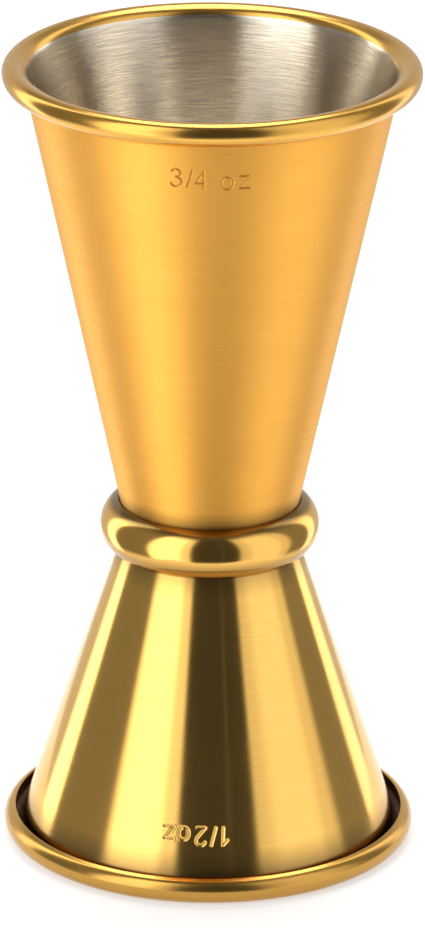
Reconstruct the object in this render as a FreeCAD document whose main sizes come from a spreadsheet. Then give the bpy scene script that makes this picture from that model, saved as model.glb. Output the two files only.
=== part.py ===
"""Bar jigger: two conical measuring cups joined bottom to bottom inside a polished collar ring.

Frame: millimetres, +Z up along the common axis, origin at the centre of the resting plane.
The large cup opens upwards and the small cup opens downwards. The marks face -Y.
"""
import FreeCAD, Part

import math
import os

import Sketcher
from FreeCAD import Vector

# Driving dimensions, in millimetres and degrees.
DIMENSIONS = (
    ("total_height", 75.1),          # resting plane to the crest of the large cup's rim
    ("waist_height", 30.33),         # plane where the two cup bottoms touch
    ("waist_radius", 7.76),          # both cones' outer skins, carried on to the waist plane
    ("sheet", 0.5),                  # gauge of both cups
    ("corner_radius", 1.6),          # outer skin, between a cup's bottom and its cone
    ("large_rim_diameter", 38.2),    # over the rolled bead
    ("large_half_angle", 12.23),     # cone side to the axis
    ("crest_radius", 0.95),          # outside of the bead, from its crest to its widest point
    ("roll_radius", 1.3),            # outside of the bead, from there to its free edge
    ("roll_end_angle", -115.0),      # where the bead's free edge stops, about the roll's centre
    ("small_rim_diameter", 38.14),   # over the turned-up rim
    ("small_half_angle", 18.58),     # cone side to the axis
    ("curl_radius", 1.22),           # outside of the turned-up rim's curl
    ("curl_end_angle", 80.0),        # where the curl's cut lip stops, about the curl's centre
    ("foot_flat_depth", 0.02),       # metal worn off the small cup's rim to make its resting ring
    ("ring_centre_radius", 7.55),    # centre of the ring's round section, from the axis
    ("ring_centre_height", 30.53),   # the same centre, above the resting plane
    ("ring_section_radius", 2.62),   # radius of that section
    ("ring_bore_radius", 8.0),       # plain bore between the two chamfered seats
    ("weld_radius", 2.0),            # spot weld nugget, in the plane of the sheets
    ("weld_half_height", 0.25),      # how far the nugget reaches into each bottom
    ("mark_depth", 0.1),             # of the capacity marks, square to the cone
    ("large_mark_height", 1.74),     # a digit, along Z, between the middles of its strokes
    ("large_mark_stroke", 0.25),     # width of a stroke
    ("large_mark_base", 68.35),      # height of the digits' lower ends
    ("large_mark_turn", -0.3),       # degrees about Z from the front
    ("small_mark_height", 1.53),     # the small cup's mark, measured in the same way
    ("small_mark_stroke", 0.3),
    ("small_mark_base", 6.46),       # the digits' upper ends: this mark is upside down, for the cup in use
    ("small_mark_turn", -4.0),
)

# Single-stroke characters, one unit high, drawn from the lower left corner.
# A line holds its points in order. An arc holds its centre, radius and two angles.
GLYPHS = {
    "1": [("line", (0, 0.72), (0.27, 1), (0.27, 0))],
    "2": [("arc", (0.31, 0.73), 0.28, -38, 160), ("line", (0.531, 0.558), (0.04, 0), (0.54, 0))],
    "3": [("arc", (0.24, 0.775), 0.225, -90, 155), ("arc", (0.24, 0.275), 0.275, -155, 90)],
    "4": [("line", (0.4, 0), (0.4, 1), (0, 0.33), (0.48, 0.33))],
    "/": [("line", (0, 0), (0.25, 1))],
    "o": [("arc", (0.3, 0.3), 0.3, 180, 360), ("arc", (0.3, 0.4), 0.3, 0, 180),
          ("line", (0, 0.3), (0, 0.4)), ("line", (0.6, 0.3), (0.6, 0.4))],
    "z": [("line", (0.02, 0.69), (0.54, 0.69), (0, 0), (0.55, 0))],
}

# Each mark's characters, with the left edge and the lift of each one, in digit heights.
# They were cut by hand, so the gaps and the baseline are uneven.
MARKS = {
    "large": (("3", 0.0, 0.07), ("/", 0.8, 0.05), ("4", 1.23, -0.03), ("o", 2.55, -0.05), ("z", 3.46, 0.0)),
    "small": (("1", 0.0, 0.0), ("/", 0.72, 0.0), ("2", 1.31, 0.0), ("o", 2.35, 0.0), ("z", 3.27, 0.0)),
}
MARK_LENGTHS = {"large": 4.01, "small": 3.82}     # left edge of the first character to right edge of the last

ROOT = (-1, 1)       # the sketch's origin point
V_AXIS = -2          # the sketch's vertical axis, which is the jigger's own axis
START, END, CENTRE = 1, 2, 3

MOST_WORN = 0.02        # share of the small cup that its resting flat may take off
MOST_ENGRAVED = 5.0     # mm3 that one cup's marks may take off


def make_sheet(doc):
    """Put the driving dimensions in a spreadsheet, one alias each."""
    sheet = doc.addObject("Spreadsheet::Sheet", "Dims")
    for row, (alias, value) in enumerate(DIMENSIONS, start=1):
        sheet.set("A%d" % row, alias)
        sheet.set("B%d" % row, str(value))
        sheet.setAlias("B%d" % row, alias)
    doc.recompute()
    return sheet


def polar(centre, radius, degrees):
    """The point at an angle and a radius from a centre, in sketch coordinates."""
    angle = math.radians(degrees)
    return (centre[0] + radius * math.cos(angle), centre[1] + radius * math.sin(angle))


class Profile:
    """A half section sketched on the XZ plane, with its lines and arcs kept by name."""

    def __init__(self, body, name):
        self.sketch = body.newObject("Sketcher::SketchObject", name)
        self.sketch.AttachmentSupport = [(origin_plane(body, "XZ_Plane"), "")]
        self.sketch.MapMode = "FlatFace"
        self.index = {}

    def line(self, name, start, end, construction=False):
        shape = Part.LineSegment(Vector(start[0], start[1], 0), Vector(end[0], end[1], 0))
        self.index[name] = self.sketch.addGeometry(shape, construction)

    def arc(self, name, centre, radius, start_angle, end_angle):
        circle = Part.Circle(Vector(centre[0], centre[1], 0), Vector(0, 0, 1), radius)
        shape = Part.ArcOfCircle(circle, math.radians(start_angle), math.radians(end_angle))
        self.index[name] = self.sketch.addGeometry(shape, False)

    def rule(self, kind, *where):
        """A constraint without a size. Names stand for geometry, numbers for its points."""
        places = [self.index.get(item, item) for item in where]
        return self.sketch.addConstraint(Sketcher.Constraint(kind, *places))

    def size(self, label, kind, expression, *where):
        """A constraint whose size is worked out from the spreadsheet."""
        places = [self.index.get(item, item) for item in where]
        now = self.measure(kind, places)
        number = self.sketch.addConstraint(Sketcher.Constraint(kind, *places, now))
        self.sketch.renameConstraint(number, label)
        self.sketch.setExpression("Constraints." + label, expression)

    def measure(self, kind, places):
        """The size that the sketch has now, where the constraint is about to hold it."""
        if kind == "Radius":
            return self.sketch.Geometry[places[0]].Radius
        if kind == "Angle":
            segment = self.sketch.Geometry[places[0]]
            along = segment.EndPoint - segment.StartPoint
            return math.atan2(along.y, along.x)
        point = self.sketch.getPoint(places[-2], places[-1])
        return point.x if kind == "DistanceX" else point.y

    def across(self, label, expression, name, point):
        """Distance of a point from the axis."""
        self.size(label, "DistanceX", expression, *ROOT, name, point)

    def above(self, label, expression, name, point):
        """Height of a point over the resting plane."""
        self.size(label, "DistanceY", expression, *ROOT, name, point)

    def on_axis(self, name, point):
        self.rule("PointOnObject", name, point, V_AXIS)

    def smooth(self, first, first_point, second, second_point):
        """Two pieces of outline that meet without a corner."""
        self.rule("Tangent", first, first_point, second, second_point)

    def corner(self, first, first_point, second, second_point):
        """Two pieces of outline that meet at a corner."""
        self.rule("Coincident", first, first_point, second, second_point)

    def check(self):
        if self.sketch.solve() != 0 or not self.sketch.FullyConstrained:
            raise RuntimeError("sketch %s isn't fully held" % self.sketch.Name)


def origin_plane(body, role):
    """One of the body's own origin planes."""
    for feature in body.Origin.OriginFeatures:
        if feature.Role == role:
            return feature
    raise RuntimeError("no origin plane " + role)


def new_body(doc, label):
    body = doc.addObject("PartDesign::Body", label)
    body.Label = label
    body.Placement = FreeCAD.Placement()
    return body


def revolve(body, profile):
    """Turn a half section all the way round the jigger's axis."""
    profile.check()
    turned = body.newObject("PartDesign::Revolution", body.Label + "_turned")
    turned.Profile = profile.sketch
    turned.ReferenceAxis = (profile.sketch, ["V_Axis"])
    turned.Angle = 360.0
    profile.sketch.Visibility = False
    body.Document.recompute()
    return turned


def weld_arc(radius, half_height, waist, up):
    """Centre, radius and angles of one side of the nugget's lens section."""
    curve = (radius ** 2 + half_height ** 2) / (2 * half_height)
    reach = math.degrees(math.asin((curve - half_height) / curve))
    if up:
        return (0, waist + half_height - curve), curve, reach, 90
    return (0, waist - half_height + curve), curve, -90, -reach


def draw_cup_bottom(profile, dims, half_angle, up):
    """The bottom and its corner, with the recess that the spot weld fills.

    The cup stands on the waist plane (up) or hangs from it. Returns the corner's centre.
    """
    way = 1 if up else -1
    waist, gauge, corner = dims.waist_height, dims.sheet, dims.corner_radius
    slope = math.radians(half_angle)
    centre_x = dims.waist_radius - corner * (1 - math.sin(slope)) / math.cos(slope)
    centre = (centre_x, waist + way * corner)
    centre_of_weld, curve, low, high = weld_arc(dims.weld_radius, dims.weld_half_height, waist, up)
    recess_top = (0, waist + way * dims.weld_half_height)
    floor = waist + way * gauge
    profile.arc("recess", centre_of_weld, curve, low, high)
    profile.line("outer_floor", (dims.weld_radius, waist), (centre_x, waist))
    if up:
        angles = (-90, -half_angle)
    else:
        angles = (half_angle, 90)
    profile.arc("outer_corner", centre, corner, *angles)
    profile.arc("inner_corner", centre, corner - gauge, *angles)
    profile.line("inner_floor", (0, floor), (centre_x, floor))
    profile.line("middle", recess_top, (0, floor))
    return centre


def hold_cup_bottom(profile, half_angle, up):
    """Constraints of the bottom, its corner and the direction of the cone."""
    way = "+" if up else "-"
    rim_side, floor_side = (END, START) if up else (START, END)
    recess_edge, recess_top = (START, END) if up else (END, START)
    profile.corner("recess", recess_edge, "outer_floor", START)
    profile.on_axis("recess", recess_top)
    profile.on_axis("recess", CENTRE)
    profile.across("weld_radius", "Dims.weld_radius", "outer_floor", START)
    profile.above("weld_top", "Dims.waist_height %s Dims.weld_half_height" % way, "recess", recess_top)
    profile.rule("Horizontal", "outer_floor")
    profile.above("waist", "Dims.waist_height", "outer_floor", START)
    profile.smooth("outer_floor", END, "outer_corner", floor_side)
    profile.smooth("outer_corner", rim_side, "outer_side", START)
    profile.rule("Coincident", "inner_corner", CENTRE, "outer_corner", CENTRE)
    profile.size("corner", "Radius", "Dims.corner_radius", "outer_corner")
    profile.size("corner_inside", "Radius", "Dims.corner_radius - Dims.sheet", "inner_corner")
    profile.smooth("inner_floor", END, "inner_corner", floor_side)
    profile.smooth("inner_corner", rim_side, "inner_side", START)
    profile.rule("Horizontal", "inner_floor")
    profile.on_axis("inner_floor", START)
    profile.corner("middle", START, "recess", recess_top)
    profile.corner("middle", END, "inner_floor", START)
    profile.across("waist_radius", "Dims.waist_radius", "lead_in", START)
    profile.above("lead_in_height", "Dims.waist_height", "lead_in", START)
    profile.corner("lead_in", END, "outer_side", START)
    profile.rule("Parallel", "lead_in", "outer_side")
    if up:
        slope = "90 deg - %s * 1 deg" % half_angle
    else:
        slope = "%s * 1 deg - 90 deg" % half_angle
    profile.size("slope", "Angle", slope, "outer_side")


def make_large_cup(doc, dims):
    """The upper cup. Its mouth flares and rolls outward into a hollow bead."""
    body = new_body(doc, "large_cup_blank")
    profile = Profile(body, "large_cup_section")
    gauge, top = dims.sheet, dims.total_height
    crest, roll, end_angle = dims.crest_radius, dims.roll_radius, dims.roll_end_angle
    tilt = dims.large_half_angle
    slope = math.radians(tilt)
    corner_centre = draw_cup_bottom(profile, dims, tilt, True)

    # The skin is the line x cos(tilt) - z sin(tilt) = skin, and the flare is tangent to it.
    skin = dims.waist_radius * math.cos(slope) - dims.waist_height * math.sin(slope)
    crest_centre = (dims.large_rim_diameter / 2 - crest, top - crest)
    roll_centre = (dims.large_rim_diameter / 2 - roll, top - crest)
    reach = crest_centre[0] * math.cos(slope) - top * math.sin(slope) - skin + gauge
    flare = reach / (1 - math.sin(slope))
    flare_centre = (crest_centre[0], top - flare)
    inner = dims.corner_radius - gauge
    outer_start = polar(corner_centre, dims.corner_radius, -tilt)
    inner_start = polar(corner_centre, inner, -tilt)
    profile.line("outer_side", outer_start, polar(flare_centre, flare - gauge, 180 - tilt))
    profile.line("inner_side", inner_start, polar(flare_centre, flare, 180 - tilt))
    profile.line("lead_in", (dims.waist_radius, dims.waist_height), outer_start, True)
    profile.arc("flare_under", flare_centre, flare - gauge, 90, 180 - tilt)
    profile.arc("flare_top", flare_centre, flare, 90, 180 - tilt)
    profile.arc("crest_inside", crest_centre, crest - gauge, 0, 90)
    profile.arc("crest_outside", crest_centre, crest, 0, 90)
    profile.arc("roll_inside", roll_centre, roll - gauge, end_angle, 0)
    profile.arc("roll_outside", roll_centre, roll, end_angle, 0)
    profile.line("lip", polar(roll_centre, roll - gauge, end_angle), polar(roll_centre, roll, end_angle))

    hold_cup_bottom(profile, "Dims.large_half_angle", True)
    profile.smooth("outer_side", END, "flare_under", END)
    profile.smooth("flare_under", START, "crest_inside", END)
    profile.smooth("crest_inside", START, "roll_inside", END)
    profile.corner("roll_inside", START, "lip", START)
    profile.corner("lip", END, "roll_outside", START)
    profile.smooth("roll_outside", END, "crest_outside", START)
    profile.smooth("crest_outside", END, "flare_top", START)
    profile.smooth("flare_top", END, "inner_side", END)
    profile.rule("Coincident", "flare_top", CENTRE, "flare_under", CENTRE)
    profile.rule("Coincident", "crest_outside", CENTRE, "crest_inside", CENTRE)
    profile.rule("Coincident", "roll_outside", CENTRE, "roll_inside", CENTRE)
    profile.rule("Vertical", "flare_top", CENTRE, "crest_outside", CENTRE)
    profile.rule("Horizontal", "crest_outside", CENTRE, "roll_outside", CENTRE)
    profile.across("crest_x", "Dims.large_rim_diameter / 2 - Dims.crest_radius", "crest_outside", CENTRE)
    profile.above("crest_z", "Dims.total_height - Dims.crest_radius", "crest_outside", CENTRE)
    profile.size("crest", "Radius", "Dims.crest_radius", "crest_outside")
    profile.size("crest_hollow", "Radius", "Dims.crest_radius - Dims.sheet", "crest_inside")
    profile.size("roll", "Radius", "Dims.roll_radius", "roll_outside")
    profile.rule("PointOnObject", "roll_outside", CENTRE, "lip")
    profile.size("lip_angle", "Angle", "Dims.roll_end_angle * 1 deg", "lip")
    revolve(body, profile)
    return body


def make_small_cup(doc, dims):
    """The lower cup. Its mouth turns up into an open curl that ends in a cut lip."""
    body = new_body(doc, "small_cup_blank")
    profile = Profile(body, "small_cup_section")
    gauge, worn, curl = dims.sheet, dims.foot_flat_depth, dims.curl_radius
    tilt, end_angle = dims.small_half_angle, dims.curl_end_angle
    slope = math.radians(tilt)
    corner_centre = draw_cup_bottom(profile, dims, tilt, False)

    # The skin is the line x cos(tilt) + z sin(tilt) = skin, and the foot is tangent to it.
    skin = dims.waist_radius * math.cos(slope) + dims.waist_height * math.sin(slope)
    curl_centre = (dims.small_rim_diameter / 2 - curl, curl - worn)
    reach = curl_centre[0] * math.cos(slope) - worn * math.sin(slope) - skin + gauge
    foot = reach / (1 - math.sin(slope))
    foot_centre = (curl_centre[0], foot - worn)
    outer_start = polar(corner_centre, dims.corner_radius, tilt)
    inner_start = polar(corner_centre, dims.corner_radius - gauge, tilt)
    profile.line("outer_side", outer_start, polar(foot_centre, foot - gauge, 180 + tilt))
    profile.line("inner_side", inner_start, polar(foot_centre, foot, 180 + tilt))
    profile.line("lead_in", (dims.waist_radius, dims.waist_height), outer_start, True)
    profile.arc("foot_inside", foot_centre, foot - gauge, 180 + tilt, 270)
    profile.arc("foot_outside", foot_centre, foot, 180 + tilt, 270)
    profile.arc("curl_inside", curl_centre, curl - gauge, -90, end_angle)
    profile.arc("curl_outside", curl_centre, curl, -90, end_angle)
    profile.line("lip", polar(curl_centre, curl - gauge, end_angle), polar(curl_centre, curl, end_angle))

    hold_cup_bottom(profile, "Dims.small_half_angle", False)
    profile.smooth("outer_side", END, "foot_inside", START)
    profile.smooth("foot_inside", END, "curl_inside", START)
    profile.corner("curl_inside", END, "lip", START)
    profile.corner("lip", END, "curl_outside", END)
    profile.smooth("curl_outside", START, "foot_outside", END)
    profile.smooth("foot_outside", START, "inner_side", END)
    profile.rule("Coincident", "foot_outside", CENTRE, "foot_inside", CENTRE)
    profile.rule("Coincident", "curl_outside", CENTRE, "curl_inside", CENTRE)
    profile.rule("Vertical", "foot_outside", CENTRE, "curl_outside", CENTRE)
    profile.across("curl_x", "Dims.small_rim_diameter / 2 - Dims.curl_radius", "curl_outside", CENTRE)
    profile.above("curl_z", "Dims.curl_radius - Dims.foot_flat_depth", "curl_outside", CENTRE)
    profile.size("curl", "Radius", "Dims.curl_radius", "curl_outside")
    profile.size("curl_hollow", "Radius", "Dims.curl_radius - Dims.sheet", "curl_inside")
    profile.rule("PointOnObject", "curl_outside", CENTRE, "lip")
    profile.size("lip_angle", "Angle", "Dims.curl_end_angle * 1 deg", "lip")
    turned = revolve(body, profile)
    wear_foot_flat(body, turned)
    return body


def wear_foot_flat(body, turned):
    """The narrow flat ring that the small cup rests on: everything under z = 0 is gone."""
    before = turned.Shape.Volume
    sketch = body.newObject("Sketcher::SketchObject", "foot_flat_outline")
    sketch.AttachmentSupport = [(origin_plane(body, "XY_Plane"), "")]
    sketch.MapMode = "FlatFace"
    cut_radius = 1.0      # any size: the expression below sets it
    circle = sketch.addGeometry(Part.Circle(Vector(0, 0, 0), Vector(0, 0, 1), cut_radius), False)
    sketch.addConstraint(Sketcher.Constraint("Coincident", circle, CENTRE, *ROOT))
    number = sketch.addConstraint(Sketcher.Constraint("Radius", circle, cut_radius))
    sketch.renameConstraint(number, "cut_radius")
    sketch.setExpression("Constraints.cut_radius", "Dims.small_rim_diameter")
    body.Document.recompute()
    flat = body.newObject("PartDesign::Pocket", "foot_flat")
    flat.Profile = sketch
    flat.Type = "ThroughAll"
    sketch.Visibility = False
    body.Document.recompute()
    lost = before - flat.Shape.Volume
    if not 0 < lost < MOST_WORN * before:
        raise RuntimeError("the foot flat took off %.3f mm3" % lost)


def make_collar_ring(doc, dims):
    """The ring: a round section, bored plain and chamfered to sit on both cones."""
    body = new_body(doc, "collar_ring")
    profile = Profile(body, "collar_ring_section")
    waist, bore = dims.waist_height, dims.ring_bore_radius
    centre = (dims.ring_centre_radius, dims.ring_centre_height)

    def seat(tilt, way):
        """Ends of one chamfer, on the bore and on the round, and the round's angle there."""
        slope = math.radians(tilt)
        along = Vector(math.sin(slope), way * math.cos(slope), 0)
        start = Vector(dims.waist_radius - centre[0], waist - centre[1], 0)
        half = start.dot(along)
        run = math.sqrt(half ** 2 - start.dot(start) + dims.ring_section_radius ** 2) - half
        far = (dims.waist_radius + run * along.x, waist + run * along.y)
        rise = (bore - dims.waist_radius) / math.tan(slope)
        near = (bore, waist + way * rise)
        return near, far, math.degrees(math.atan2(far[1] - centre[1], far[0] - centre[0]))

    top_near, top_far, top_angle = seat(dims.large_half_angle, 1)
    low_near, low_far, low_angle = seat(dims.small_half_angle, -1)
    profile.arc("round", centre, dims.ring_section_radius, low_angle, top_angle)
    profile.line("top_seat", top_near, top_far)
    profile.line("low_seat", low_near, low_far)
    profile.line("bore", low_near, top_near)
    profile.line("top_lead", (dims.waist_radius, waist), top_near, True)
    profile.line("low_lead", (dims.waist_radius, waist), low_near, True)

    profile.corner("top_seat", END, "round", END)
    profile.corner("low_seat", END, "round", START)
    profile.corner("bore", END, "top_seat", START)
    profile.corner("bore", START, "low_seat", START)
    profile.corner("top_lead", START, "low_lead", START)
    profile.corner("top_lead", END, "top_seat", START)
    profile.corner("low_lead", END, "low_seat", START)
    profile.rule("Parallel", "top_lead", "top_seat")
    profile.rule("Parallel", "low_lead", "low_seat")
    profile.rule("Vertical", "bore")
    profile.size("top_slope", "Angle", "90 deg - Dims.large_half_angle * 1 deg", "top_seat")
    profile.size("low_slope", "Angle", "Dims.small_half_angle * 1 deg - 90 deg", "low_seat")
    profile.across("waist_radius", "Dims.waist_radius", "top_lead", START)
    profile.above("waist", "Dims.waist_height", "top_lead", START)
    profile.across("bore_radius", "Dims.ring_bore_radius", "bore", START)
    profile.across("round_x", "Dims.ring_centre_radius", "round", CENTRE)
    profile.above("round_z", "Dims.ring_centre_height", "round", CENTRE)
    profile.size("section", "Radius", "Dims.ring_section_radius", "round")
    revolve(body, profile)
    return body


def make_spot_weld(doc, dims):
    """The nugget: a lens of fused steel, half in each cup's bottom."""
    body = new_body(doc, "spot_weld")
    profile = Profile(body, "spot_weld_section")
    radius, half_height, waist = dims.weld_radius, dims.weld_half_height, dims.waist_height
    profile.arc("top", *weld_arc(radius, half_height, waist, True))
    profile.arc("under", *weld_arc(radius, half_height, waist, False))
    profile.line("middle", (0, waist - half_height), (0, waist + half_height))

    profile.corner("under", END, "top", START)
    profile.corner("middle", START, "under", START)
    profile.corner("middle", END, "top", END)
    profile.on_axis("top", CENTRE)
    profile.on_axis("under", CENTRE)
    profile.on_axis("middle", END)
    profile.on_axis("middle", START)
    profile.across("radius", "Dims.weld_radius", "top", START)
    profile.above("waist", "Dims.waist_height", "top", START)
    profile.above("top_z", "Dims.waist_height + Dims.weld_half_height", "top", END)
    profile.above("low_z", "Dims.waist_height - Dims.weld_half_height", "under", START)
    revolve(body, profile)
    return body


def straight_stroke(start, end, width):
    """A straight groove's outline with round ends, as a face in the XZ plane."""
    start, end = Vector(start[0], 0, start[1]), Vector(end[0], 0, end[1])
    along = (end - start).normalize() * (width / 2)
    side = Vector(-along.z, 0, along.x)
    edges = [
        Part.LineSegment(start + side, end + side).toShape(),
        Part.Arc(end + side, end + along, end - side).toShape(),
        Part.LineSegment(end - side, start - side).toShape(),
        Part.Arc(start - side, start - along, start + side).toShape(),
    ]
    return Part.Face(Part.Wire(edges))


def round_stroke(centre, radius, low, high, width):
    """A curved groove's outline with round ends, as a face in the XZ plane."""
    def at(distance, degrees):
        x, z = polar(centre, distance, degrees)
        return Vector(x, 0, z)

    def cap(degrees, way):
        """The point at the tip of a round end, half a width past the arc's own end."""
        beyond = math.radians(degrees + way * 90)
        tip = Vector(math.cos(beyond), 0, math.sin(beyond)) * (width / 2)
        return at(radius, degrees) + tip

    outer, inner, middle = radius + width / 2, radius - width / 2, (low + high) / 2
    edges = [
        Part.Arc(at(outer, low), at(outer, middle), at(outer, high)).toShape(),
        Part.Arc(at(outer, high), cap(high, 1), at(inner, high)).toShape(),
        Part.Arc(at(inner, high), at(inner, middle), at(inner, low)).toShape(),
        Part.Arc(at(inner, low), cap(low, -1), at(outer, low)).toShape(),
    ]
    return Part.Face(Part.Wire(edges))


def stroke_faces(strokes, corner, scale, width):
    """The faces of one character whose lower left corner is at corner."""
    def place(point):
        return (corner[0] + scale * point[0], corner[1] + scale * point[1])

    faces = []
    for kind, *rest in strokes:
        if kind == "line":
            points = [place(point) for point in rest]
            for start, end in zip(points, points[1:]):
                faces.append(straight_stroke(start, end, width))
        else:
            centre, radius, low, high = rest
            faces.append(round_stroke(place(centre), scale * radius, low, high, width))
    return faces


def make_marks(doc, dims, cup, upright):
    """The metal that one cup loses to its mark, as strokes of even depth."""
    height = getattr(dims, cup + "_mark_height")
    width = getattr(dims, cup + "_mark_stroke")
    base = getattr(dims, cup + "_mark_base")
    turn = getattr(dims, cup + "_mark_turn")
    tilt = math.radians(getattr(dims, cup + "_half_angle"))
    faces = []
    for letter, left, lift in MARKS[cup]:
        corner = ((left - MARK_LENGTHS[cup] / 2) * height, lift * height)
        faces += stroke_faces(GLYPHS[letter], corner, height, width)
    depth_of_prism = dims.large_rim_diameter / 2
    prisms = [face.extrude(Vector(0, -depth_of_prism, 0)) for face in faces]
    letters = prisms[0].multiFuse(prisms[1:])
    if not upright:
        letters.rotate(Vector(0, 0, 0), Vector(0, 1, 0), 180)
    letters.translate(Vector(0, 0, base))
    letters.rotate(Vector(0, 0, 0), Vector(0, 0, 1), turn)

    # The cone inside the marks: its skin lies the marks' depth under the cup's own skin.
    waist = dims.waist_height
    narrow = dims.waist_radius - dims.mark_depth / math.cos(tilt)
    far = dims.total_height if upright else 0.0
    wide = narrow + abs(far - waist) * math.tan(tilt)
    if upright:
        core = Part.makeCone(narrow, wide, far - waist, Vector(0, 0, waist))
    else:
        core = Part.makeCone(wide, narrow, waist - far, Vector(0, 0, far))
    marks = doc.addObject("Part::Feature", cup + "_cup_marks")
    marks.Shape = letters.cut(core)
    return marks


def engrave(doc, blank, marks, label):
    """The finished cup: its blank less the marks."""
    cup = doc.addObject("Part::Cut", label)
    cup.Base = blank
    cup.Tool = marks
    cup.Label = label
    doc.recompute()
    lost = blank.Shape.Volume - cup.Shape.Volume
    if not 0 < lost < MOST_ENGRAVED:
        raise RuntimeError("the marks took %.3f mm3 off %s" % (lost, label))
    return cup


def check_and_write(doc, pieces):
    """Stop on anything that failed, then write each piece to its own file."""
    for item in doc.Objects:
        if "Invalid" in item.State or "Error" in item.State:
            raise RuntimeError("%s is %s" % (item.Name, item.State))
    for piece in pieces:
        shape = piece.Shape
        if shape.isNull() or not shape.isValid() or len(shape.Solids) != 1:
            raise RuntimeError("%s isn't one valid solid" % piece.Label)
    for piece in pieces:
        piece.Shape.exportStep(os.path.join("parts", piece.Label + ".step"))
        box = piece.Shape.optimalBoundingBox(False)
        print("%-12s %9.2f mm3  z %.2f to %.2f  radius %.3f"
              % (piece.Label, piece.Shape.Volume, box.ZMin, box.ZMax, box.XMax))


def main():
    os.makedirs("parts", exist_ok=True)
    doc = FreeCAD.newDocument("jigger")
    dims = make_sheet(doc)
    large_blank = make_large_cup(doc, dims)
    small_blank = make_small_cup(doc, dims)
    large_marks = make_marks(doc, dims, "large", True)
    small_marks = make_marks(doc, dims, "small", False)
    pieces = [
        engrave(doc, large_blank, large_marks, "large_cup"),
        engrave(doc, small_blank, small_marks, "small_cup"),
        make_collar_ring(doc, dims),
        make_spot_weld(doc, dims),
    ]
    doc.recompute()
    check_and_write(doc, pieces)


main()
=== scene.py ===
"""Looks of the double bar jigger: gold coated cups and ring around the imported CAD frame.

Metres, +Z up, origin at the centre of the resting plane. Both cups and the ring are turned shapes, so each
is one outline in the (radius, height) plane, swept round the axis. The capacity marks are pressed into the
swept mesh. Azimuth 0 is the front, -Y, and positive azimuths go round to +X.
"""

import math

import bmesh
import bpy
import numpy as np
from mathutils import Matrix, Vector


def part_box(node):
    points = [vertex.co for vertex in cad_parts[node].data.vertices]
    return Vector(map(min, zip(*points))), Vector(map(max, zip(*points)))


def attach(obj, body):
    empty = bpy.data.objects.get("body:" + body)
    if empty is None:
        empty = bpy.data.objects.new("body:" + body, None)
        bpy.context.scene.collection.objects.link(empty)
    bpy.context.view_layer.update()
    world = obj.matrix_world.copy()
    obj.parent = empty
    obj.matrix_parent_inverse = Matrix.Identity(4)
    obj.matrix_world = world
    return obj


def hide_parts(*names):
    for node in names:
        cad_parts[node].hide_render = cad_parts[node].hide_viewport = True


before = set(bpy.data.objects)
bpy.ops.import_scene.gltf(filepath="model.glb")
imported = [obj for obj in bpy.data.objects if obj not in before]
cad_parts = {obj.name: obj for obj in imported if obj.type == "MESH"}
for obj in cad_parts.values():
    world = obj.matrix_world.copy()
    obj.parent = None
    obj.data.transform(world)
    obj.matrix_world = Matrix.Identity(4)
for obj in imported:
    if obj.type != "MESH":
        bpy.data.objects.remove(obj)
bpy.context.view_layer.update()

MM = 0.001
MICRON = 1e-6
TINY = 1e-9               # lengths below this count as none

# Section of the sheet and the ring, in metres and degrees, as the CAD model has it.
SHEET = 0.5 * MM
CORNER = 1.6 * MM         # outside radius at the bottom of each cup
LARGE_TILT = 12.23        # of the cups' sides, from straight up
SMALL_TILT = 18.58
WAIST_RADIUS = 7.76 * MM  # where the two sides would meet, between the cups
CREST = 0.95 * MM         # radius of the large cup's bead at its top
ROLL = 1.3 * MM           # radius of the bead's outside and underside
ROLL_END = -115.0         # where the bead ends, from its outermost point
CURL = 1.22 * MM          # radius of the small cup's curl
CURL_END = 80.0           # where the curl ends, from its outermost point
WORN = 0.02 * MM          # worn off the face that the small cup's rim stands on
RING_SECTION = 2.62 * MM
RING_BORE = 8.0 * MM
RING_RISE = 0.2 * MM      # centre of the ring's section, above the waist

# What the looks add to that section.
COATING_END = 151.0       # where the gold stops inside the large cup's mouth, about the flare's centre
CLEARANCE = 0.01 * MM     # between the ring's seats and the cones
SEAT_ROLL = 0.22 * MM     # radius of the ring's edges, beside each cone
LIP_RADIUS = 0.06 * MM    # of a cut lip's broken corners
EDGE_ANGLE = 5.0          # where a curl's arcs stop short of its cut lip, to leave room for the broken corner

# Where the CAD nodes are.
LARGE_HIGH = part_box("large_cup")[1]
SMALL_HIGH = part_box("small_cup")[1]
RING_LOW, RING_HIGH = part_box("collar_ring")
WELD_LOW, WELD_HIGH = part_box("spot_weld")
WAIST = (WELD_LOW.z + WELD_HIGH.z) / 2
WELD_RADIUS = WELD_HIGH.x
WELD_HALF = WELD_HIGH.z - WAIST

# How close together a mesh's columns and rows are: fine about the marks, and coarse elsewhere.
FINE_COLUMN = math.radians(0.14)
COARSE_COLUMN = math.radians(1.6)
COLUMN_GROWTH = 1.18      # from one column to the next, on the way from fine to coarse
RING_COLUMNS = 288
FINE_ROW = 0.04 * MM
COARSE_ROW = 3.0 * MM
LEAST_COARSE_ROW = 1.8 * MM       # what is left of a cone's side isn't divided when it is shorter
LEAST_ROW = 0.1 * MM
UV_MARGIN = 0.01


# ---------------------------------------------------------------- outlines and turned meshes

def polar(centre, radius, degrees):
    angle = math.radians(degrees)
    return (centre[0] + radius * math.cos(angle), centre[1] + radius * math.sin(angle))


def on_arc(centre, radius, start, end, steps):
    return [polar(centre, radius, start + (end - start) * i / steps) for i in range(steps + 1)]


def on_line(start, end, steps):
    run, rise = end[0] - start[0], end[1] - start[1]
    return [(start[0] + run * i / steps, start[1] + rise * i / steps) for i in range(steps + 1)]


class Outline:
    """Points of a half section, in order, each run of them with the material slot of its skin."""

    def __init__(self):
        self.points = []
        self.slots = []

    def add(self, points, slot):
        for point in points:
            if self.points and math.dist(point, self.points[-1]) < TINY:
                continue
            if self.points:
                self.slots.append(slot)
            self.points.append(point)


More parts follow.
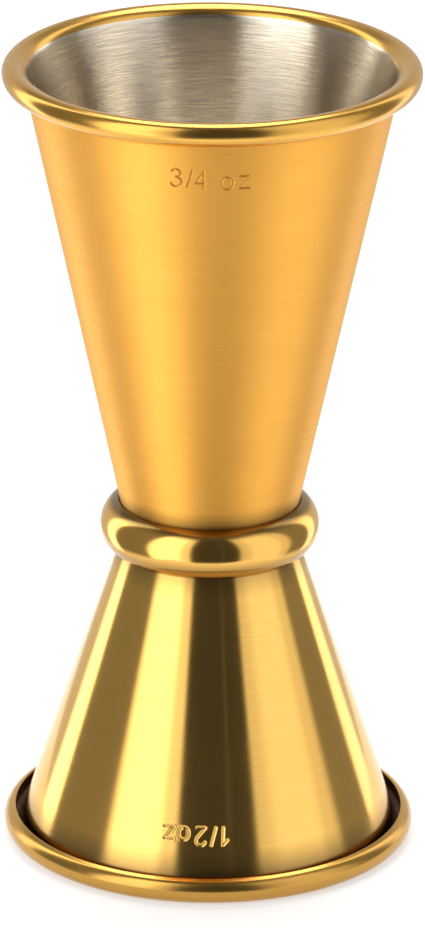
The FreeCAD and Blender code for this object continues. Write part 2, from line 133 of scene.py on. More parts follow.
def columns(centre, half_width):
    """Azimuths round a sweep, in radians: fine within half_width of the centre and coarse beyond."""
    half = [0.0]
    step = FINE_COLUMN
    while half[-1] < math.pi - COARSE_COLUMN / 2:
        if half[-1] > half_width:
            step = min(step * COLUMN_GROWTH, COARSE_COLUMN)
        half.append(half[-1] + step)
    half = np.array(half)
    # The coarse part is stretched or squeezed, so that both halves end opposite the centre.
    share = np.clip((half - half_width) / (math.pi - half_width), 0, 1)
    half *= 1 + (math.pi / half[-1] - 1) * share
    half[-1] = math.pi
    return centre + np.concatenate([-half[:0:-1], half[:-1]])


def swept_vertices(points, azimuths):
    """Vertices of a turned shape, and the number of each by point and azimuth. The axis has single ones."""
    count = len(azimuths)
    index = np.zeros((len(points), count), int)
    vertices = []
    for row, (radius, height) in enumerate(points):
        if radius < TINY:
            index[row] = len(vertices)
            vertices.append((0.0, 0.0, height))
        else:
            index[row] = len(vertices) + np.arange(count)
            vertices.extend(zip(radius * np.sin(azimuths), -radius * np.cos(azimuths), [height] * count))
    return np.array(vertices), index


def swept_faces(points, azimuths, index, closed):
    """Faces of a turned shape, row by row, and the UV coordinates of their corners."""
    path = np.vstack([points, points[:1]]) if closed else points
    lengths = np.concatenate([[0], np.cumsum(np.hypot(*np.diff(path, axis=0).T))])
    along = UV_MARGIN + (1 - 2 * UV_MARGIN) * lengths / lengths[-1]
    turns = np.append((azimuths - azimuths[0]) / (2 * math.pi), 1.0)
    around = UV_MARGIN + (1 - 2 * UV_MARGIN) * turns
    faces, uvs = [], []
    for row in range(len(along) - 1):
        after = (row + 1) % len(points)
        for column in range(len(azimuths)):
            beside = (column + 1) % len(azimuths)
            corners = [(index[row, column], around[column], along[row]),
                       (index[row, beside], around[column + 1], along[row]),
                       (index[after, beside], around[column + 1], along[row + 1]),
                       (index[after, column], around[column], along[row + 1])]
            # Beside the axis, two corners are the same vertex, and the face is a triangle.
            if corners[0][0] == corners[1][0]:
                del corners[1]
            elif corners[2][0] == corners[3][0]:
                del corners[3]
            faces.append([int(corner[0]) for corner in corners])
            uvs.extend(corner[1:] for corner in corners)
    return faces, uvs


def sweep(name, outline, azimuths, slots, painted_shade, press=None, closed=False):
    """A turned mesh object.

    The argument after slots gives how much painted shade each vertex takes. press gives the moved vertices
    and how deep in a stroke each is.
    """
    points = np.array(outline.points)
    vertices, index = swept_vertices(points, azimuths)
    faces, uvs = swept_faces(points, azimuths, index, closed)
    cut = np.zeros(len(vertices))
    if press:
        vertices, cut = press(vertices)
    shade_amount = painted_shade(np.hypot(vertices[:, 0], vertices[:, 1]), vertices[:, 2])
    row_slots = [slots.index(slot) for slot in outline.slots]
    if closed:
        row_slots.append(row_slots[-1])
    face_slots = np.repeat(row_slots, len(azimuths))

    mesh = bpy.data.meshes.new(name)
    mesh.from_pydata(vertices.tolist(), [], faces)
    layer = mesh.uv_layers.new(name="OFBake")
    layer.data.foreach_set("uv", np.array(uvs, np.float32).ravel())
    for attribute, values in (("cut", cut), ("painted_shade", shade_amount)):
        mesh.attributes.new(attribute, "FLOAT", "POINT").data.foreach_set("value", values.astype(np.float32))
    mesh.polygons.foreach_set("material_index", face_slots)
    mesh.polygons.foreach_set("use_smooth", [True] * len(faces))
    work = bmesh.new()
    work.from_mesh(mesh)
    bmesh.ops.recalc_face_normals(work, faces=work.faces)
    work.to_mesh(mesh)
    work.free()
    mesh.validate()
    piece = bpy.data.objects.new(name, mesh)
    bpy.context.scene.collection.objects.link(piece)
    return piece


# ---------------------------------------------------------------- capacity marks

# Single-stroke characters, one unit high, from the lower left corner, as the CAD model has them.
GLYPHS = {
    "1": [("line", (0, 0.72), (0.27, 1), (0.27, 0))],
    "2": [("arc", (0.31, 0.73), 0.28, -38, 160), ("line", (0.531, 0.558), (0.04, 0), (0.54, 0))],
    "3": [("arc", (0.24, 0.775), 0.225, -90, 155), ("arc", (0.24, 0.275), 0.275, -155, 90)],
    "4": [("line", (0.4, 0), (0.4, 1), (0, 0.33), (0.48, 0.33))],
    "/": [("line", (0, 0), (0.25, 1))],
    "o": [("arc", (0.3, 0.3), 0.3, 180, 360), ("arc", (0.3, 0.4), 0.3, 0, 180),
          ("line", (0, 0.3), (0, 0.4)), ("line", (0.6, 0.3), (0.6, 0.4))],
    "z": [("line", (0.02, 0.69), (0.54, 0.69), (0, 0), (0.55, 0))],
}
GLYPH_CHORDS = 24         # in each arc

# Each character with its left edge and its lift, in digit heights.
LARGE_LAYOUT = (("3", 0.0, 0.07), ("/", 0.8, 0.05), ("4", 1.23, -0.03), ("o", 2.55, -0.05), ("z", 3.46, 0.0))
SMALL_LAYOUT = (("1", 0.0, 0.0), ("/", 0.72, 0.0), ("2", 1.31, 0.0), ("o", 2.35, 0.0), ("z", 3.27, 0.0))
MARK_MARGIN = 0.5 * MM    # fine columns beyond each end of the marks

# Section of a stroke, a V with a rounded bottom and a burr beside each edge. Places and widths are in halves
# of the stroke's width, and heights are in depths of the stroke.
GROOVE_REACH = 1.1        # where the groove starts, from its middle
GROOVE_SPAN = 0.93        # from there to the bottom
GROOVE_ROUNDING = 0.03    # of its bottom
GROOVE_EASING = 0.06      # of its edges
BURR_HEIGHT = 0.06
BURR_PLACE = 1.35
BURR_WIDTH = 0.22
FULL_STROKE_FROM = 0.5        # the depth from which a stroke is duller and takes its painted shade in full


class Marks:
    """A line of single-stroke characters pressed into the front of a cone."""

    def __init__(self, layout, length, height, stroke, base, turn, upright, depth, cone_radius):
        """length is in digit heights, base is the height of the digits' feet, and turn is in degrees."""
        self.height, self.stroke, self.base, self.turn = height, stroke, base, math.radians(turn)
        self.upright, self.depth = upright, depth
        self.half_length = length * height / 2
        self.half_angle = (self.half_length + MARK_MARGIN) / cone_radius
        self.strokes = []
        for letter, left, lift in layout:
            for kind, *rest in GLYPHS[letter]:
                self.strokes.extend(self.placed(kind, rest, left - length / 2, lift))

    def placed(self, kind, rest, left, lift):
        """Straight pieces of one stroke, in metres. An arc becomes short chords."""
        points = on_arc(*rest, GLYPH_CHORDS) if kind == "arc" else rest
        points = [((left + x) * self.height, (lift + z) * self.height) for x, z in points]
        return list(zip(points, points[1:]))

    def span(self):
        """Lowest and highest point of the marks, with a margin."""
        if self.upright:
            return self.base - self.stroke, self.base + self.height + self.stroke
        return self.base - self.height - self.stroke, self.base + self.stroke

    def distances(self, spots):
        """How far each spot of the flat layout is from the nearest stroke's middle line."""
        nearest = np.full(len(spots), np.inf)
        for start, end in self.strokes:
            start, end = np.array(start), np.array(end)
            run = end - start
            share = np.clip((spots - start) @ run / (run @ run), 0, 1)
            nearest = np.minimum(nearest, np.linalg.norm(spots - start - share[:, None] * run, axis=1))
        return nearest

    def press(self, vertices, tilt_up, is_outside):
        """The vertices, moved inwards where a stroke passes, and how far each one is inside a stroke."""
        low, high = self.span()
        x, y, z = vertices.T
        radius = np.hypot(x, y)
        azimuth = np.arctan2(x, -y) - self.turn
        across = radius * np.sin(azimuth)
        near = (z > low) & (z < high) & is_outside(radius, z)
        near &= (np.abs(across) < self.half_length + 2 * self.stroke) & (np.cos(azimuth) > 0)
        way = 1 if self.upright else -1
        spots = way * np.stack([across[near], z[near] - self.base], axis=1)
        offset = self.distances(spots) / (self.stroke / 2)
        fall = np.clip((GROOVE_REACH - np.sqrt(offset ** 2 + GROOVE_ROUNDING)) / GROOVE_SPAN, 0, 1)
        groove = fall ** 2 / (fall + GROOVE_EASING)
        burr = BURR_HEIGHT * np.exp(-((offset - BURR_PLACE) / BURR_WIDTH) ** 2)
        front = azimuth[near] + self.turn
        outwards = np.stack([np.sin(front) * math.cos(tilt_up), -np.cos(front) * math.cos(tilt_up),
                             np.full(len(spots), math.sin(tilt_up))], axis=1)
        moved = vertices.copy()
        moved[near] += outwards * ((burr - groove) * self.depth)[:, None]
        cut = np.zeros(len(vertices))
        cut[near] = np.clip(groove / FULL_STROKE_FROM, 0, 1)
        return moved, cut


LARGE_MARKS = Marks(LARGE_LAYOUT, length=4.01, height=1.74 * MM, stroke=0.25 * MM, base=68.35 * MM,
                    turn=-0.3, upright=True, depth=0.10 * MM, cone_radius=16 * MM)
SMALL_MARKS = Marks(SMALL_LAYOUT, length=3.82, height=1.53 * MM, stroke=0.30 * MM, base=6.46 * MM,
                    turn=-4.0, upright=False, depth=0.10 * MM, cone_radius=15.5 * MM)


# ---------------------------------------------------------------- outlines of the pieces

def weld_recess(way, steps=8):
    """Half of the lens that the spot weld fills, from the axis to the bottoms' plane."""
    curve = (WELD_RADIUS ** 2 + WELD_HALF ** 2) / (2 * WELD_HALF)
    points = []
    for i in range(steps + 1):
        radius = WELD_RADIUS * i / steps
        sagitta = WELD_HALF - curve + math.sqrt(curve ** 2 - radius ** 2)
        points.append((radius, WAIST + way * sagitta))
    return points


def cut_lip(inside, outside, forward, outline, steps=4):
    """The sheet's cut edge, with both of its corners broken. The sheet runs forward up to the edge."""
    inside, outside, forward = Vector(inside), Vector(outside), Vector(forward)
    edge = (outside - inside).normalized()
    for corner, from_way, to_way in ((inside, forward, edge), (outside, edge, -forward)):
        start = corner - from_way * LIP_RADIUS
        end = corner + to_way * LIP_RADIUS
        bend = []
        for i in range(steps + 1):
            share = i / steps
            bend.append(tuple(start.lerp(corner, share).lerp(corner.lerp(end, share), share)))
        outline.add(bend, "gold_rim")


def side_rows(start, end, marks):
    """Points along a cone's side: fine across the marks and coarse elsewhere."""
    low, high = marks.span()
    total = abs(end[1] - start[1])
    way = 1 if end[1] > start[1] else -1
    heights = [start[1]]
    while abs(heights[-1] - start[1]) < total - LEAST_COARSE_ROW:
        z = heights[-1]
        ahead = z + way * COARSE_ROW
        if low <= z <= high:
            z += way * FINE_ROW
        elif z < low < ahead:
            z = low
        elif z > high > ahead:
            z = high
        else:
            z = ahead
        heights.append(z)
    if abs(heights[-1] - start[1]) > total - LEAST_ROW:
        heights.pop()
    slope = (end[0] - start[0]) / (end[1] - start[1])
    return [(start[0] + slope * (z - start[1]), z) for z in heights + [end[1]]]


def large_outline():
    """The upper cup: weld recess, outside from the bottom up, rolled bead, then inside and down."""
    tilt, slope = LARGE_TILT, math.radians(LARGE_TILT)
    inner = CORNER - SHEET
    top = LARGE_HIGH.z
    crest_centre = (LARGE_HIGH.x - CREST, top - CREST)
    roll_centre = (LARGE_HIGH.x - ROLL, top - CREST)
    skin = WAIST_RADIUS * math.cos(slope) - WAIST * math.sin(slope)
    flare = (crest_centre[0] * math.cos(slope) - top * math.sin(slope) - skin + SHEET) / (1 - math.sin(slope))
    flare_centre = (crest_centre[0], top - flare)
    corner_x = WAIST_RADIUS - CORNER * (1 - math.sin(slope)) / math.cos(slope)
    corner = (corner_x, WAIST + CORNER)
    edge = math.radians(ROLL_END)
    outline = Outline()
    outline.add(weld_recess(1), "bare_steel")
    outline.add(on_line((WELD_RADIUS, WAIST), (corner_x, WAIST), 3), "gold_satin")
    outline.add(on_arc(corner, CORNER, -90, -tilt, 8), "gold_satin")
    outline.add(side_rows(polar(corner, CORNER, -tilt), polar(flare_centre, flare - SHEET, 180 - tilt),
                          LARGE_MARKS), "gold_satin")
    # The skin inside the bead's hollow takes the dark painted shade material.
    outline.add(on_arc(flare_centre, flare - SHEET, 180 - tilt, 90, 8), "hollow_shade")
    outline.add(on_arc(crest_centre, CREST - SHEET, 90, 0, 10), "hollow_shade")
    outline.add(on_arc(roll_centre, ROLL - SHEET, 0, ROLL_END + EDGE_ANGLE, 16), "hollow_shade")
    cut_lip(polar(roll_centre, ROLL - SHEET, ROLL_END), polar(roll_centre, ROLL, ROLL_END),
            (math.sin(edge), -math.cos(edge)), outline)
    outline.add(on_arc(roll_centre, ROLL, ROLL_END + EDGE_ANGLE, 0, 28), "gold_rim")
    outline.add(on_arc(crest_centre, CREST, 0, 90, 20), "gold_rim")
    outline.add(on_arc(flare_centre, flare, 90, COATING_END, 12), "gold_rim")
    outline.add(on_arc(flare_centre, flare, COATING_END, 180 - tilt, 4), "bare_steel")
    outline.add(on_line(polar(flare_centre, flare, 180 - tilt), polar(corner, inner, -tilt), 16),
                "bare_steel")
    outline.add(on_arc(corner, inner, -tilt, -90, 8), "bare_steel")
    outline.add(on_line((corner_x, WAIST + SHEET), (0, WAIST + SHEET), 6), "steel_floor")
    return outline


def small_outline():
    """The lower cup: weld recess, outside from the top down, turned-up curl, then inside and up."""
    tilt, slope = SMALL_TILT, math.radians(SMALL_TILT)
    inner = CORNER - SHEET
    curl_centre = (SMALL_HIGH.x - CURL, CURL - WORN)
    skin = WAIST_RADIUS * math.cos(slope) + WAIST * math.sin(slope)
    foot = (curl_centre[0] * math.cos(slope) - WORN * math.sin(slope) - skin + SHEET) / (1 - math.sin(slope))
    foot_centre = (curl_centre[0], foot - WORN)
    corner_x = WAIST_RADIUS - CORNER * (1 - math.sin(slope)) / math.cos(slope)
    corner = (corner_x, WAIST - CORNER)
    # The worn flat cuts both the curl and the foot's bend, each at its own angle from straight down.
    curl_flat = math.degrees(math.acos(curl_centre[1] / CURL))
    foot_flat = math.degrees(math.acos(foot_centre[1] / foot))
    edge = math.radians(CURL_END)
    outline = Outline()
    outline.add(weld_recess(-1), "bare_steel")
    outline.add(on_line((WELD_RADIUS, WAIST), (corner_x, WAIST), 3), "gold_polished")
    outline.add(on_arc(corner, CORNER, 90, tilt, 8), "gold_polished")
    outline.add(side_rows(polar(corner, CORNER, tilt), polar(foot_centre, foot - SHEET, 180 + tilt),
                          SMALL_MARKS), "gold_polished")
    # The skin inside the curl's hollow takes the dark painted shade material.
    outline.add(on_arc(foot_centre, foot - SHEET, 180 + tilt, 270, 4), "hollow_shade")
    outline.add(on_arc(curl_centre, CURL - SHEET, -90, CURL_END - EDGE_ANGLE, 24), "hollow_shade")
    cut_lip(polar(curl_centre, CURL - SHEET, CURL_END), polar(curl_centre, CURL, CURL_END),
            (-math.sin(edge), math.cos(edge)), outline)
    outline.add(on_arc(curl_centre, CURL, CURL_END - EDGE_ANGLE, curl_flat - 90, 36), "gold_rim")
    outline.add(on_arc(foot_centre, foot, 270 - foot_flat, 180 + tilt, 14), "gold_rim")
    outline.add(on_line(polar(foot_centre, foot, 180 + tilt), polar(corner, inner, tilt), 12),
                "bare_steel")
    outline.add(on_arc(corner, inner, tilt, 90, 8), "bare_steel")
    outline.add(on_line((corner_x, WAIST - SHEET), (0, WAIST - SHEET), 6), "steel_floor")
    return outline


def ring_seat(way, tilt, centre):
    """The angle where the ring's round outside ends, its rolled edge, and where its seat meets the bore."""
    slope = math.radians(tilt)
    outwards = Vector((math.cos(slope), -way * math.sin(slope)))
    seat = Vector((WAIST_RADIUS, WAIST)) + outwards * CLEARANCE
    # The roll's centre is reach from the round's centre, and SEAT_ROLL outside the seat's line.
    reach = RING_SECTION - SEAT_ROLL
    offset = SEAT_ROLL - (centre - seat).dot(outwards)
    angle = way * (math.degrees(math.acos(offset / reach)) - tilt)
    roll = on_arc(polar(centre, reach, angle), SEAT_ROLL, angle, way * (180 - tilt), 6)
    bore = (RING_BORE, WAIST + way * (RING_BORE - WAIST_RADIUS - CLEARANCE) / math.tan(slope))
    return angle, roll, bore


def ring_outline():
    """Round outside, with rolled edges, so that a fine crevice shows beside each cone."""
    centre = Vector((RING_HIGH.x - RING_SECTION, WAIST + RING_RISE))
    low_angle, low_roll, low_bore = ring_seat(-1, SMALL_TILT, centre)
    high_angle, high_roll, high_bore = ring_seat(1, LARGE_TILT, centre)
    outline = Outline()
    outline.add(on_arc(centre, RING_SECTION, low_angle, high_angle, 56), "gold_ring")
    outline.add(high_roll + [high_bore, low_bore] + low_roll[:0:-1], "gold_ring")
    return outline


# ---------------------------------------------------------------- materials

def rgba(value):
    """A grey or a colour with its opacity. Another node's output stays as it is."""
    if isinstance(value, (int, float)):
        value = (value, value, value)
    return (*value, 1) if isinstance(value, tuple) else value


class Tree:
    """The node tree of a material or a world. An input takes a value or another node's output."""

    def __init__(self, owner):
        owner.use_nodes = True
        self.nodes, self.links = owner.node_tree.nodes, owner.node_tree.links
        self.nodes.clear()

    def add(self, kind, inputs, **settings):
        """A new node. inputs holds values by socket, and sockets that it leaves out keep their defaults."""
        node = self.nodes.new(kind)
        for setting, value in settings.items():
            setattr(node, setting, value)
        for socket, value in inputs.items():
            if isinstance(value, bpy.types.NodeSocket):
                self.links.new(value, node.inputs[socket])
            else:
                node.inputs[socket].default_value = value
        return node

    def math(self, operation, *values, clamp=False):
        node = self.add("ShaderNodeMath", dict(enumerate(values)), operation=operation, use_clamp=clamp)
        return node.outputs[0]

    def remap(self, value, from_low, from_high, to_low, to_high):
        limits = {"From Min": from_low, "From Max": from_high, "To Min": to_low, "To Max": to_high}
        return self.add("ShaderNodeMapRange", {"Value": value, **limits}).outputs[0]

    def mix(self, factor, first, second, kind="MIX"):
        inputs = {"Factor": factor, "A": rgba(first), "B": rgba(second)}
        return self.add("ShaderNodeMix", inputs, data_type="RGBA", blend_type=kind).outputs["Result"]

    def noise(self, where, scale, detail, roughness):
        inputs = {"Vector": where, "Scale": scale, "Detail": detail, "Roughness": roughness}
        return self.add("ShaderNodeTexNoise", inputs).outputs["Fac"]

    def bump(self, height, depth, **under):
        """A bumped normal. under may hold the Normal of a bump that this one comes on top of."""
        inputs = {"Strength": 1.0, "Distance": depth, "Height": height, **under}
        return self.add("ShaderNodeBump", inputs).outputs["Normal"]

    def place(self, space):
        """Where a point or a direction is, in Object or Generated coordinates."""
        return self.add("ShaderNodeTexCoord", {}).outputs[space]

    def axes(self, space):
        """x, y and z of that place."""
        return self.add("ShaderNodeSeparateXYZ", {0: self.place(space)}).outputs

    def attribute(self, name):
        return self.add("ShaderNodeAttribute", {}, attribute_name=name).outputs["Fac"]

    def surface(self, output, shader):
        """The tree's output node, which takes the shader."""
        self.add(output, {"Surface": shader.outputs[0]})


FINE_LINES = 9000.0       # hairlines, as noise cells in a metre across them
BROAD_LINES = 2600.0
BROAD_LENGTH = 2.5        # a broad hairline's length, over a fine one's
RADIUS_SHARE = 1.3        # of the way across hairlines: keeps them even on a cone and on a flat floor
SMUDGE_CELLS = 140.0      # in a metre
NOISE_WIDE = (0.25, 0.75)     # most of a noise's range
NOISE_NARROW = (0.3, 0.7)     # a little less of it
ROUND_THE_AXIS = 0.25     # in turns: sets the anisotropic gloss by the hairlines
STROKE_ROUGHNESS = 0.12   # how much duller an engraved stroke is than the skin beside it
STROKE_SHADE = 0.32       # how much of the painted shade's dark colour lies in an engraved stroke
SHADE_ROUGHNESS = 0.08    # how much duller the skin is where shade is painted in a crevice
# the dark brown of the painted shade, in crevices, under the ring and in engraved strokes
SHADE_COLOR = (0.16, 0.105, 0.04)
GOLD = (0.92, 0.55, 0.14)
GOLD_DEEP = (0.88, 0.52, 0.13)
SATIN = (0.97, 0.525, 0.10)
SATIN_DEEP = (0.93, 0.485, 0.09)
GOLD_RING = (0.88, 0.51, 0.125)
GOLD_RING_DEEP = (0.84, 0.48, 0.115)
RIM_GOLD = (0.72, 0.405, 0.085)          # darker and browner gold, on both rims
RIM_GOLD_DEEP = (0.64, 0.35, 0.075)
HOLLOW_SHADE = (0.20, 0.125, 0.085)          # dark brown painted shade, on the skin inside the hollow of each bead and curl
HOLLOW_SHADE_DARK = (0.14, 0.085, 0.06)
STEEL = (0.86, 0.78, 0.645)
STEEL_DARK = (0.54, 0.475, 0.38)
STEEL_FLOOR = (0.38, 0.335, 0.27)         # on the flat floor of each cup, which is turned rougher; the darker steel there is painted shade


def hairlines(tree, length, lines, detail, roughness):
    """A noise that is stretched round the axis, with this many lines in a metre across them."""
    x, y, z = tree.axes("Object")
    radius = tree.math("SQRT", tree.math("ADD", tree.math("MULTIPLY", x, x), tree.math("MULTIPLY", y, y)))
    path = tree.math("ADD", z, tree.math("MULTIPLY", radius, RADIUS_SHARE))
    join = tree.add("ShaderNodeCombineXYZ", {0: tree.math("MULTIPLY", x, 1 / length),
                                             1: tree.math("MULTIPLY", y, 1 / length),
                                             2: tree.math("MULTIPLY", path, lines)})
    return tree.noise(join.outputs[0], 1.0, detail, roughness)


def metal(name, color, tint, rough, spread, length, fine_depth, broad_depth, anisotropy, smudge):
    """Brushed or polished metal: hairlines round the axis, with uneven gloss, a little uneven colour, and
    shade painted into engraved strokes and crevices.
    """
    material = bpy.data.materials.new(name)
    tree = Tree(material)
    fine = hairlines(tree, length * MM, FINE_LINES, 3.0, 0.65)
    broad = hairlines(tree, length * MM * BROAD_LENGTH, BROAD_LINES, 2.0, 0.5)
    blotch = tree.noise(tree.place("Object"), SMUDGE_CELLS, 3.0, 0.6)
    cut, painted_shade = tree.attribute("cut"), tree.attribute("painted_shade")

    gloss = tree.remap(fine, *NOISE_WIDE, rough - spread, rough + spread)
    for extra in (tree.remap(blotch, *NOISE_NARROW, -smudge, smudge),
                  tree.math("MULTIPLY", cut, STROKE_ROUGHNESS),
                  tree.math("MULTIPLY", painted_shade, SHADE_ROUGHNESS)):
        gloss = tree.math("ADD", gloss, extra, clamp=True)
    coat = tree.mix(tree.remap(fine, *NOISE_NARROW, 0.0, 1.0), color, tint)
    # Painted shade in the engraved strokes.
    coat = tree.mix(tree.math("MULTIPLY", cut, STROKE_SHADE), coat, SHADE_COLOR)
    # Painted shade in the crevices, beside the curl and under the ring.
    coat = tree.mix(painted_shade, coat, SHADE_COLOR)
    normal = tree.bump(fine, fine_depth * MICRON)
    normal = tree.bump(broad, broad_depth * MICRON, Normal=normal)

    inputs = {"Metallic": 1.0, "Base Color": coat, "Roughness": gloss, "Normal": normal}
    if anisotropy:
        tangent = tree.add("ShaderNodeTangent", {}, direction_type="RADIAL", axis="Z").outputs["Tangent"]
        inputs |= {"Anisotropic": anisotropy, "Anisotropic Rotation": ROUND_THE_AXIS, "Tangent": tangent}
    tree.surface("ShaderNodeOutputMaterial", tree.add("ShaderNodeBsdfPrincipled", inputs))
    return material


# Two colours, roughness and its spread along the hairlines, a hairline's length in millimetres, the depths of
# the fine and the broad hairlines in microns, anisotropy, and how much smudges change the roughness.
FINISH_VALUES = {
    "gold_satin": (SATIN, SATIN_DEEP, 0.56, 0.05, 5.0, 2.4, 1.4, 0.7, 0.015),
    "gold_polished": (GOLD, GOLD_DEEP, 0.13, 0.03, 8.0, 0.7, 0.35, 0.5, 0.02),
    "gold_rim": (RIM_GOLD, RIM_GOLD_DEEP, 0.21, 0.03, 8.0, 0.4, 0.3, 0.0, 0.03),
    "gold_ring": (GOLD_RING, GOLD_RING_DEEP, 0.13, 0.02, 8.0, 0.3, 0.2, 0.0, 0.02),
    # Painted shade inside the hollows of the bead and the curl.
    "hollow_shade": (HOLLOW_SHADE, HOLLOW_SHADE_DARK, 0.45, 0.05, 8.0, 1.0, 1.0, 0.0, 0.03),
    "bare_steel": (STEEL, STEEL_DARK, 0.20, 0.08, 3.0, 12.0, 2.5, 0.96, 0.03),
    # The cups' flat floors: darker steel, as painted shade, and rougher.
    "steel_floor": (STEEL_DARK, STEEL_FLOOR, 0.52, 0.06, 3.0, 14.0, 10.0, 0.0, 0.03),
}
FINISHES = {name: metal(name, *values) for name, values in FINISH_VALUES.items()}


# ---------------------------------------------------------------- pieces

# Shade painted into the colour in the crevices, beside the curl and under the ring: how much, and the
# distances between which it fades out.
SHADE_ABOVE_RING = (1.0, 0.1 * MM, 0.9 * MM)      # on the large cup, from the ring's top upwards
SHADE_BELOW_RING = (0.8, -0.3 * MM, 0.9 * MM)     # on the small cup, from the ring's bottom downwards
SHADE_BEHIND_CURL = (1.0, 2.1 * MM, 3.4 * MM)     # on the small cup's side, from the resting plane upwards
SHADE_ON_CURL = (0.25, 1.7 * MM, 2.3 * MM)        # on the curl, from the resting plane upwards
SHADE_RING_SEAT = (0.85, 0.7 * MM, 1.6 * MM)      # on the ring, from where it meets the large cup
SHADE_RING_LOW = (0.65, -1.2 * MM, 0.1 * MM)      # on the ring's lower half, by height above the waist


def shade_fade(distance, amount, near, far):
    """The amount up to near and none from far on, with a smooth change between them."""
    share = np.clip((distance - near) / (far - near), 0, 1)
    return amount * (1 - share * share * (3 - 2 * share))


def finish_piece(piece, slots, node):
    for slot in slots:
        piece.data.materials.append(FINISHES[slot])
    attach(piece, "root")
    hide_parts(node)


def make_large_cup():
    slots = ["gold_satin", "gold_rim", "hollow_shade", "bare_steel", "steel_floor"]
    slope = math.radians(LARGE_TILT)

    def outside(radius, z):
        skin = WAIST_RADIUS + (z - WAIST) * math.tan(slope)
        return radius > skin - SHEET / 2

    def press(vertices):
        return LARGE_MARKS.press(vertices, -slope, outside)

    # Painted shade on the large cup's side, just above the ring.
    def painted_shade(radius, z):
        return shade_fade(z - RING_HIGH.z, *SHADE_ABOVE_RING) * outside(radius, z)

    azimuths = columns(LARGE_MARKS.turn, LARGE_MARKS.half_angle)
    piece = sweep("large_cup_shell", large_outline(), azimuths, slots, painted_shade, press)
    finish_piece(piece, slots, "large_cup")


def make_small_cup():
    slots = ["gold_polished", "gold_rim", "hollow_shade", "bare_steel", "steel_floor"]
    slope = math.radians(SMALL_TILT)

    def outside(radius, z):
        skin = WAIST_RADIUS + (WAIST - z) * math.tan(slope)
        return (radius > skin - SHEET / 2) & (radius < skin + SHEET / 2)

    def press(vertices):
        return SMALL_MARKS.press(vertices, slope, outside)

    # Painted shade on the small cup's side below the ring and above the curl, and on the curl near the
    # resting plane.
    def painted_shade(radius, z):
        side = shade_fade(z, *SHADE_BEHIND_CURL) + shade_fade(RING_LOW.z - z, *SHADE_BELOW_RING)
        curl = shade_fade(z, *SHADE_ON_CURL) * (radius > SMALL_HIGH.x - 2 * CURL)
        return np.where(outside(radius, z) & (z > SHEET), side, curl)

    azimuths = columns(SMALL_MARKS.turn, SMALL_MARKS.half_angle)
    piece = sweep("small_cup_shell", small_outline(), azimuths, slots, painted_shade, press)
    finish_piece(piece, slots, "small_cup")


def make_ring():
    slots = ["gold_ring"]
    seat_radius = WAIST_RADIUS + (RING_HIGH.z - WAIST) * math.tan(math.radians(LARGE_TILT))

    # Painted shade on the ring beside the large cup and over its lower half.
    def painted_shade(radius, z):
        seat = shade_fade(np.hypot(radius - seat_radius, z - RING_HIGH.z), *SHADE_RING_SEAT)
        return seat + shade_fade(z - WAIST, *SHADE_RING_LOW)

    azimuths = np.arange(RING_COLUMNS) * (2 * math.pi / RING_COLUMNS)
    piece = sweep("collar_ring_polished", ring_outline(), azimuths, slots, painted_shade, closed=True)
    finish_piece(piece, slots, "collar_ring")


def finish_weld():
    """The spot weld stays as the CAD node, with a better material."""
    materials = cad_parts["spot_weld"].data.materials
    materials.clear()
    materials.append(FINISHES["bare_steel"])


# ---------------------------------------------------------------- floor, light and camera

# Edges of the pale sheet that the jigger stands on, which its low reflections show.
FLOOR_FRONT = -58.0 * MM
FLOOR_SIDE = 45.0 * MM
FLOOR_BACK = 4.0
FLOOR_DROP = 0.02 * MM    # below the resting plane
PAPER = {"Metallic": 0.0, "Base Color": (0.62, 0.62, 0.62, 1), "Roughness": 0.8, "Specular IOR Level": 0.2,
         "Emission Color": (1, 1, 1, 1), "Emission Strength": 0.5}

# The studio all round, by azimuth from the front in degrees: where each sector starts, its brightness up to
# UPPER degrees of elevation and above, and half the width of the soft edge that it starts with.
SECTORS = (
    (-180, 0.70, 0.35, 0.0),
    (-150, 0.68, 0.28, 3.0),
    (-130, 2.60, 2.60, 2.0),
    (-113.3, 0.26, 0.27, 1.2),
    (-65.5, 2.35, 2.35, 3.5),
    (-31, 1.30, 1.30, 3.0),
    (-20, 0.063, 0.063, 1.5),
    (13.2, 0.14, 0.14, 0.4),
    (14.6, 0.065, 0.065, 0.4),
    (32, 0.92, 0.92, 1.5),
    (44, 1.24, 1.24, 5.0),
    (78, 0.95, 0.95, 3.0),
    (91, 0.28, 0.28, 3.0),
    (121.8, 1.80, 1.80, 1.5),
    (138, 0.68, 0.35, 2.0),
)
UPPER = (26, 32)          # elevations between which the lower brightness gives way to the upper one
TABLE = 1.5               # brightness below the panels, beyond the pale sheet
TABLE_EDGE = (-42, -27)
CEILING = 0.12
CEILING_EDGE = (56, 70)
LAMP = 4.2                # a round soft light overhead, a little behind the jigger
LAMP_LEAN = 22            # from straight up, towards the back
LAMP_RADIUS = (22, 20)    # where its soft edge starts and where it is at full brightness

CAMERA_ELEVATION = 20.46
CAMERA_ROLL = 0.335
CAMERA_DISTANCE = 0.7
CAMERA_PIVOT = Vector((0, 0, 37.8 * MM))          # what the camera's height and distance are measured from
CAMERA_AIM = Vector((0.22 * MM, 0, 36.2 * MM))
LENS = 294.4
SENSOR = 36


def make_floor():
    mesh = bpy.data.meshes.new("floor")
    corners = [(x, y, -FLOOR_DROP) for x, y in ((-FLOOR_SIDE, FLOOR_FRONT), (FLOOR_SIDE, FLOOR_FRONT),
                                                (FLOOR_SIDE, FLOOR_BACK), (-FLOOR_SIDE, FLOOR_BACK))]
    mesh.from_pydata(corners, [], [(0, 1, 2, 3)])
    floor = bpy.data.objects.new("floor", mesh)
    bpy.context.scene.collection.objects.link(floor)
    material = bpy.data.materials.new("floor_paper")
    tree = Tree(material)
    tree.surface("ShaderNodeOutputMaterial", tree.add("ShaderNodeBsdfPrincipled", PAPER))
    mesh.materials.append(material)


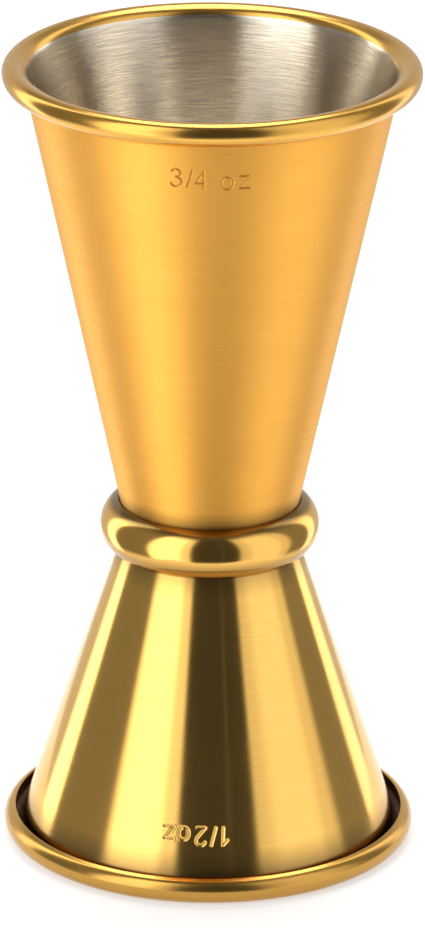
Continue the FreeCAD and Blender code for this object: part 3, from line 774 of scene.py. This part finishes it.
def sector_ramp(tree, share, column):
    """The brightness all round, from one column of SECTORS. share goes from 0 to 1 with the azimuth."""
    stops = []
    for i, sector in enumerate(SECTORS):
        start, edge = sector[0], sector[3]
        if edge:
            stops.append((start - edge, SECTORS[i - 1][column]))
        stops.append((start + edge, sector[column]))
    ramp = tree.add("ShaderNodeValToRGB", {0: share})
    elements = ramp.color_ramp.elements
    while len(elements) < len(stops):
        elements.new(0)
    for element, (angle, level) in zip(elements, stops):
        element.position = (angle + 180) / 360
        element.color = rgba(level)
    return ramp.outputs["Color"]


def make_world():
    """The studio's reflections, in front of a plain white background."""
    world = bpy.data.worlds.new("studio")
    bpy.context.scene.world = world
    tree = Tree(world)
    x, y, z = tree.axes("Generated")

    def rise(elevations):
        """0 below the first elevation and 1 above the second."""
        start, end = (math.sin(math.radians(elevation)) for elevation in elevations)
        return tree.remap(z, start, end, 0.0, 1.0)

    azimuth = tree.math("ARCTAN2", x, tree.math("MULTIPLY", y, -1.0))
    share = tree.math("ADD", tree.math("DIVIDE", azimuth, 2 * math.pi), 0.5)
    wall = tree.mix(rise(UPPER), sector_ramp(tree, share, 1), sector_ramp(tree, share, 2))
    wall = tree.mix(rise(TABLE_EDGE), TABLE, wall)
    wall = tree.mix(rise(CEILING_EDGE), wall, CEILING)
    lean = math.radians(LAMP_LEAN)
    to_lamp = tree.math("ADD", tree.math("MULTIPLY", y, math.sin(lean)),
                        tree.math("MULTIPLY", z, math.cos(lean)))
    edge, full = (math.cos(math.radians(radius)) for radius in LAMP_RADIUS)
    light = tree.mix(1.0, wall, tree.remap(to_lamp, edge, full, 0.0, LAMP), "ADD")
    studio = tree.add("ShaderNodeBackground", {"Color": light})
    plain = tree.add("ShaderNodeBackground", {"Color": rgba(1.0)})
    to_camera = tree.add("ShaderNodeLightPath", {}).outputs["Is Camera Ray"]
    tree.surface("ShaderNodeOutputWorld", tree.add(
        "ShaderNodeMixShader", {0: to_camera, 1: studio.outputs[0], 2: plain.outputs[0]}))


def make_camera():
    elevation = math.radians(CAMERA_ELEVATION)
    data = bpy.data.cameras.new("camera")
    data.lens = LENS
    data.sensor_width = SENSOR
    camera = bpy.data.objects.new("camera", data)
    back = Vector((0, -math.cos(elevation), math.sin(elevation)))
    place = CAMERA_PIVOT + CAMERA_DISTANCE * back
    look = (CAMERA_AIM - place).to_track_quat("-Z", "Y").to_matrix().to_4x4()
    roll = Matrix.Rotation(math.radians(CAMERA_ROLL), 4, "Z")
    camera.matrix_world = Matrix.Translation(place) @ look @ roll
    bpy.context.scene.collection.objects.link(camera)
    bpy.context.scene.camera = camera
    bpy.context.scene.view_settings.view_transform = "Standard"


make_large_cup()
make_small_cup()
make_ring()
finish_weld()
make_floor()
make_world()
make_camera()
